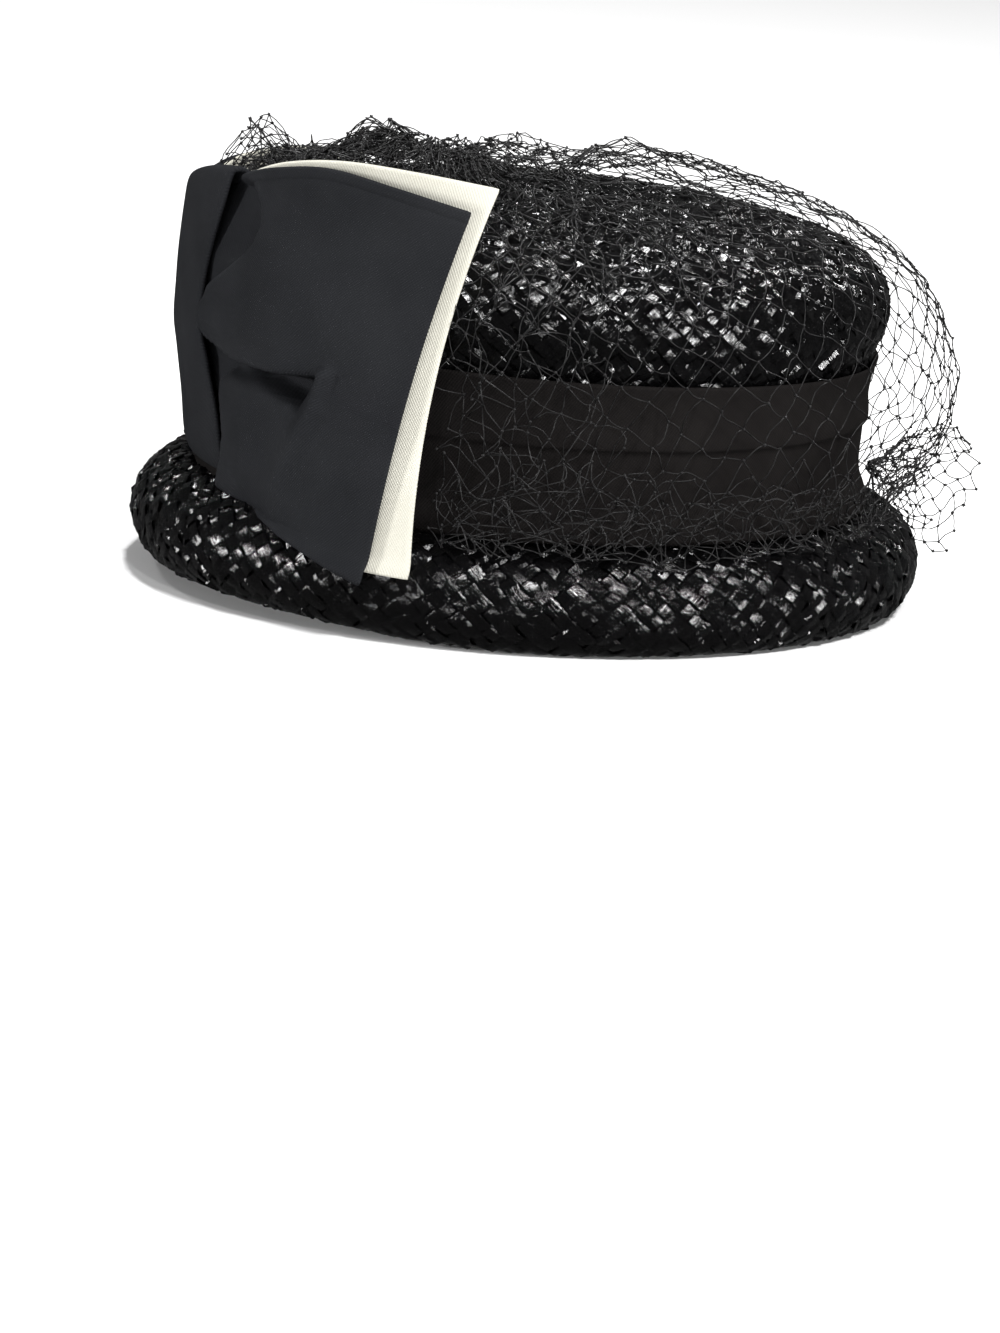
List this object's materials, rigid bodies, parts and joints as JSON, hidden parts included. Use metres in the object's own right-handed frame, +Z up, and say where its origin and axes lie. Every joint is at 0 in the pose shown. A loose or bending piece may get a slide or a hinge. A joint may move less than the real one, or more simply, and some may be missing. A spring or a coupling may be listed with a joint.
{
  "type": "pillbox hat with a rolled brim",
  "caption": "Oval straw hat with a short rolled brim, a wide ribbon band, a flat layered bow in front and a gathered face veil of coarse netting.",
  "frame": {"origin": "under the middle of the whole hat's box, on the surface that the brim rests on", "axes": "+Z up, -Y the front of the hat with the bow, +X the wearer's left"},
  "size_m": [0.212, 0.2624, 0.1368],
  "materials": {
    "straw": "lacquered woven straw, glossy",
    "ribbon": "matte ribbed ribbon",
    "faille": "matte fine-ribbed cloth, charcoal black",
    "ivory_cloth": "matte fine-ribbed cloth, ivory",
    "net": "fine stiff veiling thread"
  },
  "bodies": {
    "root": {"crown": "straw", "brim": "straw", "hatband": "ribbon", "bow_ivory": "ivory_cloth", "bow_black": "faille", "bow_knot": "faille", "veil": "net"}
  },
  "joints": []
}
